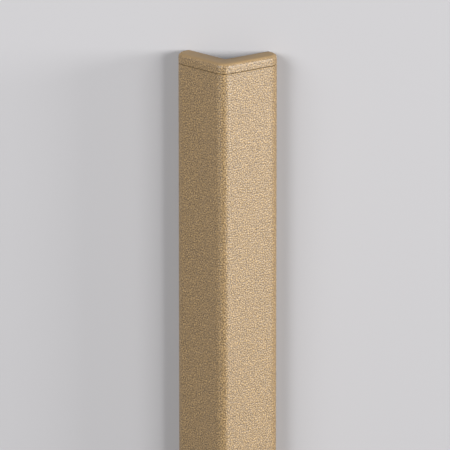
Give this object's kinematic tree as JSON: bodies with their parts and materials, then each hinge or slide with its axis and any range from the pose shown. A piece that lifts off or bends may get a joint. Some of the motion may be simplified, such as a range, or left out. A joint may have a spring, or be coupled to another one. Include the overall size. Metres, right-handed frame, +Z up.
{
  "type": "corner guard moulding",
  "caption": "L-shaped clip-on corner guard: pebbled tan vinyl cover with a rounded nose over an aluminium wall retainer, closed at its top end by a flush moulded cap.",
  "frame": {"origin": "on the floor below the middle of the guard as it lies on its two wing edges", "axes": "+Y along the length towards the capped end, which is the top when the guard is on a wall; +Z up, out of the nose; +X across to the right wing"},
  "size_m": [0.0628, 0.9144, 0.042],
  "materials": {
    "cover_vinyl": "pebble-grained, low sheen",
    "retainer_aluminium": "mill, with lengthwise die lines",
    "cap_vinyl": "pebble-grained edge band, smooth satin top"
  },
  "bodies": {
    "root": {"cover": "cover_vinyl", "retainer": "retainer_aluminium", "top_cap": "cap_vinyl"}
  },
  "joints": []
}
